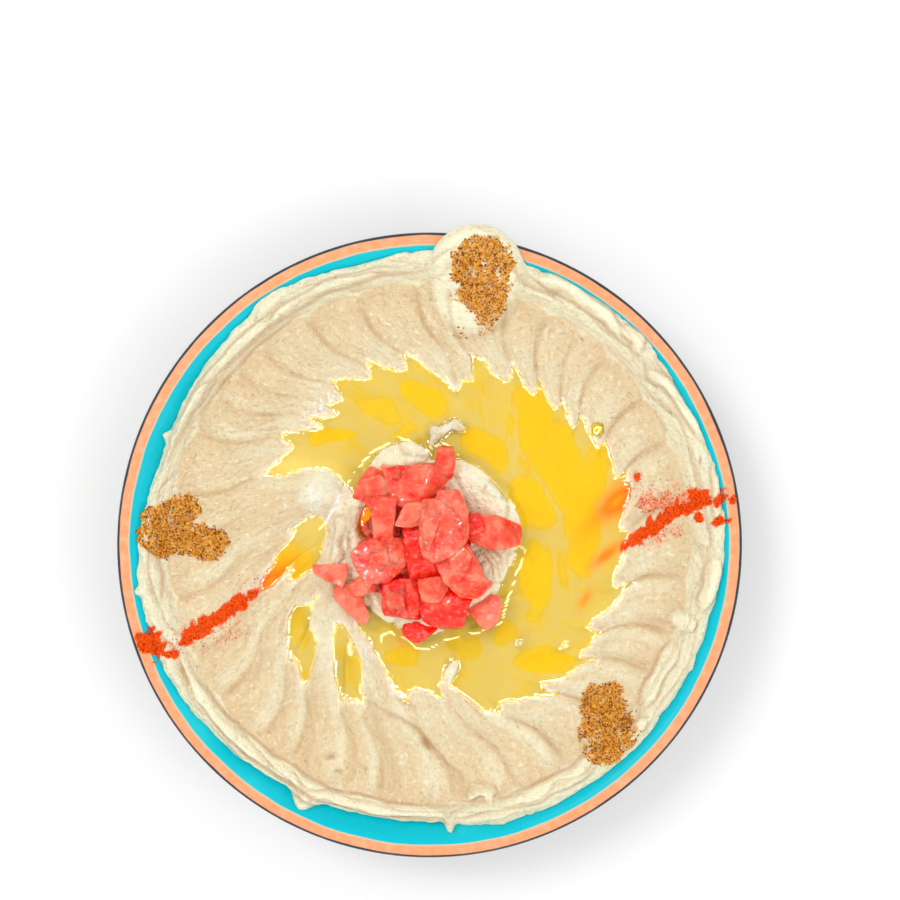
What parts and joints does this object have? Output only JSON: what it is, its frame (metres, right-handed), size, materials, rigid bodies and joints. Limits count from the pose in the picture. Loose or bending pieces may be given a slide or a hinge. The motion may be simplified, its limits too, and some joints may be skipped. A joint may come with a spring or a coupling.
{
  "type": "hummus in a bowl",
  "caption": "Hummus swirled with a spoon in a shallow glazed bowl, with olive oil, diced tomato, cumin and paprika.",
  "frame": {"origin": "middle of the bowl's foot, on the surface it stands on", "axes": "+Z up; +Y towards the lump of hummus that leans over the lip; +X to the right when seen from above with +Y up"},
  "size_m": [0.21, 0.2128, 0.0432],
  "materials": {
    "glazed_stoneware": "gloss",
    "hummus": "satin",
    "olive_oil": "gloss",
    "tomato": "gloss",
    "cumin": "matte",
    "paprika": "matte"
  },
  "bodies": {
    "root": {"bowl": "glazed_stoneware", "hummus": "hummus", "tomato_01": "tomato", "tomato_02": "tomato", "tomato_03": "tomato", "tomato_04": "tomato", "tomato_05": "tomato", "tomato_06": "tomato", "tomato_07": "tomato", "tomato_08": "tomato", "tomato_09": "tomato", "tomato_10": "tomato", "tomato_11": "tomato", "tomato_12": "tomato", "tomato_13": "tomato", "tomato_14": "tomato", "tomato_15": "tomato", "tomato_16": "tomato", "tomato_17": "tomato", "tomato_18": "tomato", "oil_pool": "olive_oil", "oil_puddle_left": "olive_oil", "oil_puddle_lower_left": "olive_oil", "oil_puddle_low": "olive_oil", "oil_puddle_tomato": "olive_oil", "oil_drop": "olive_oil"}
  },
  "joints": []
}
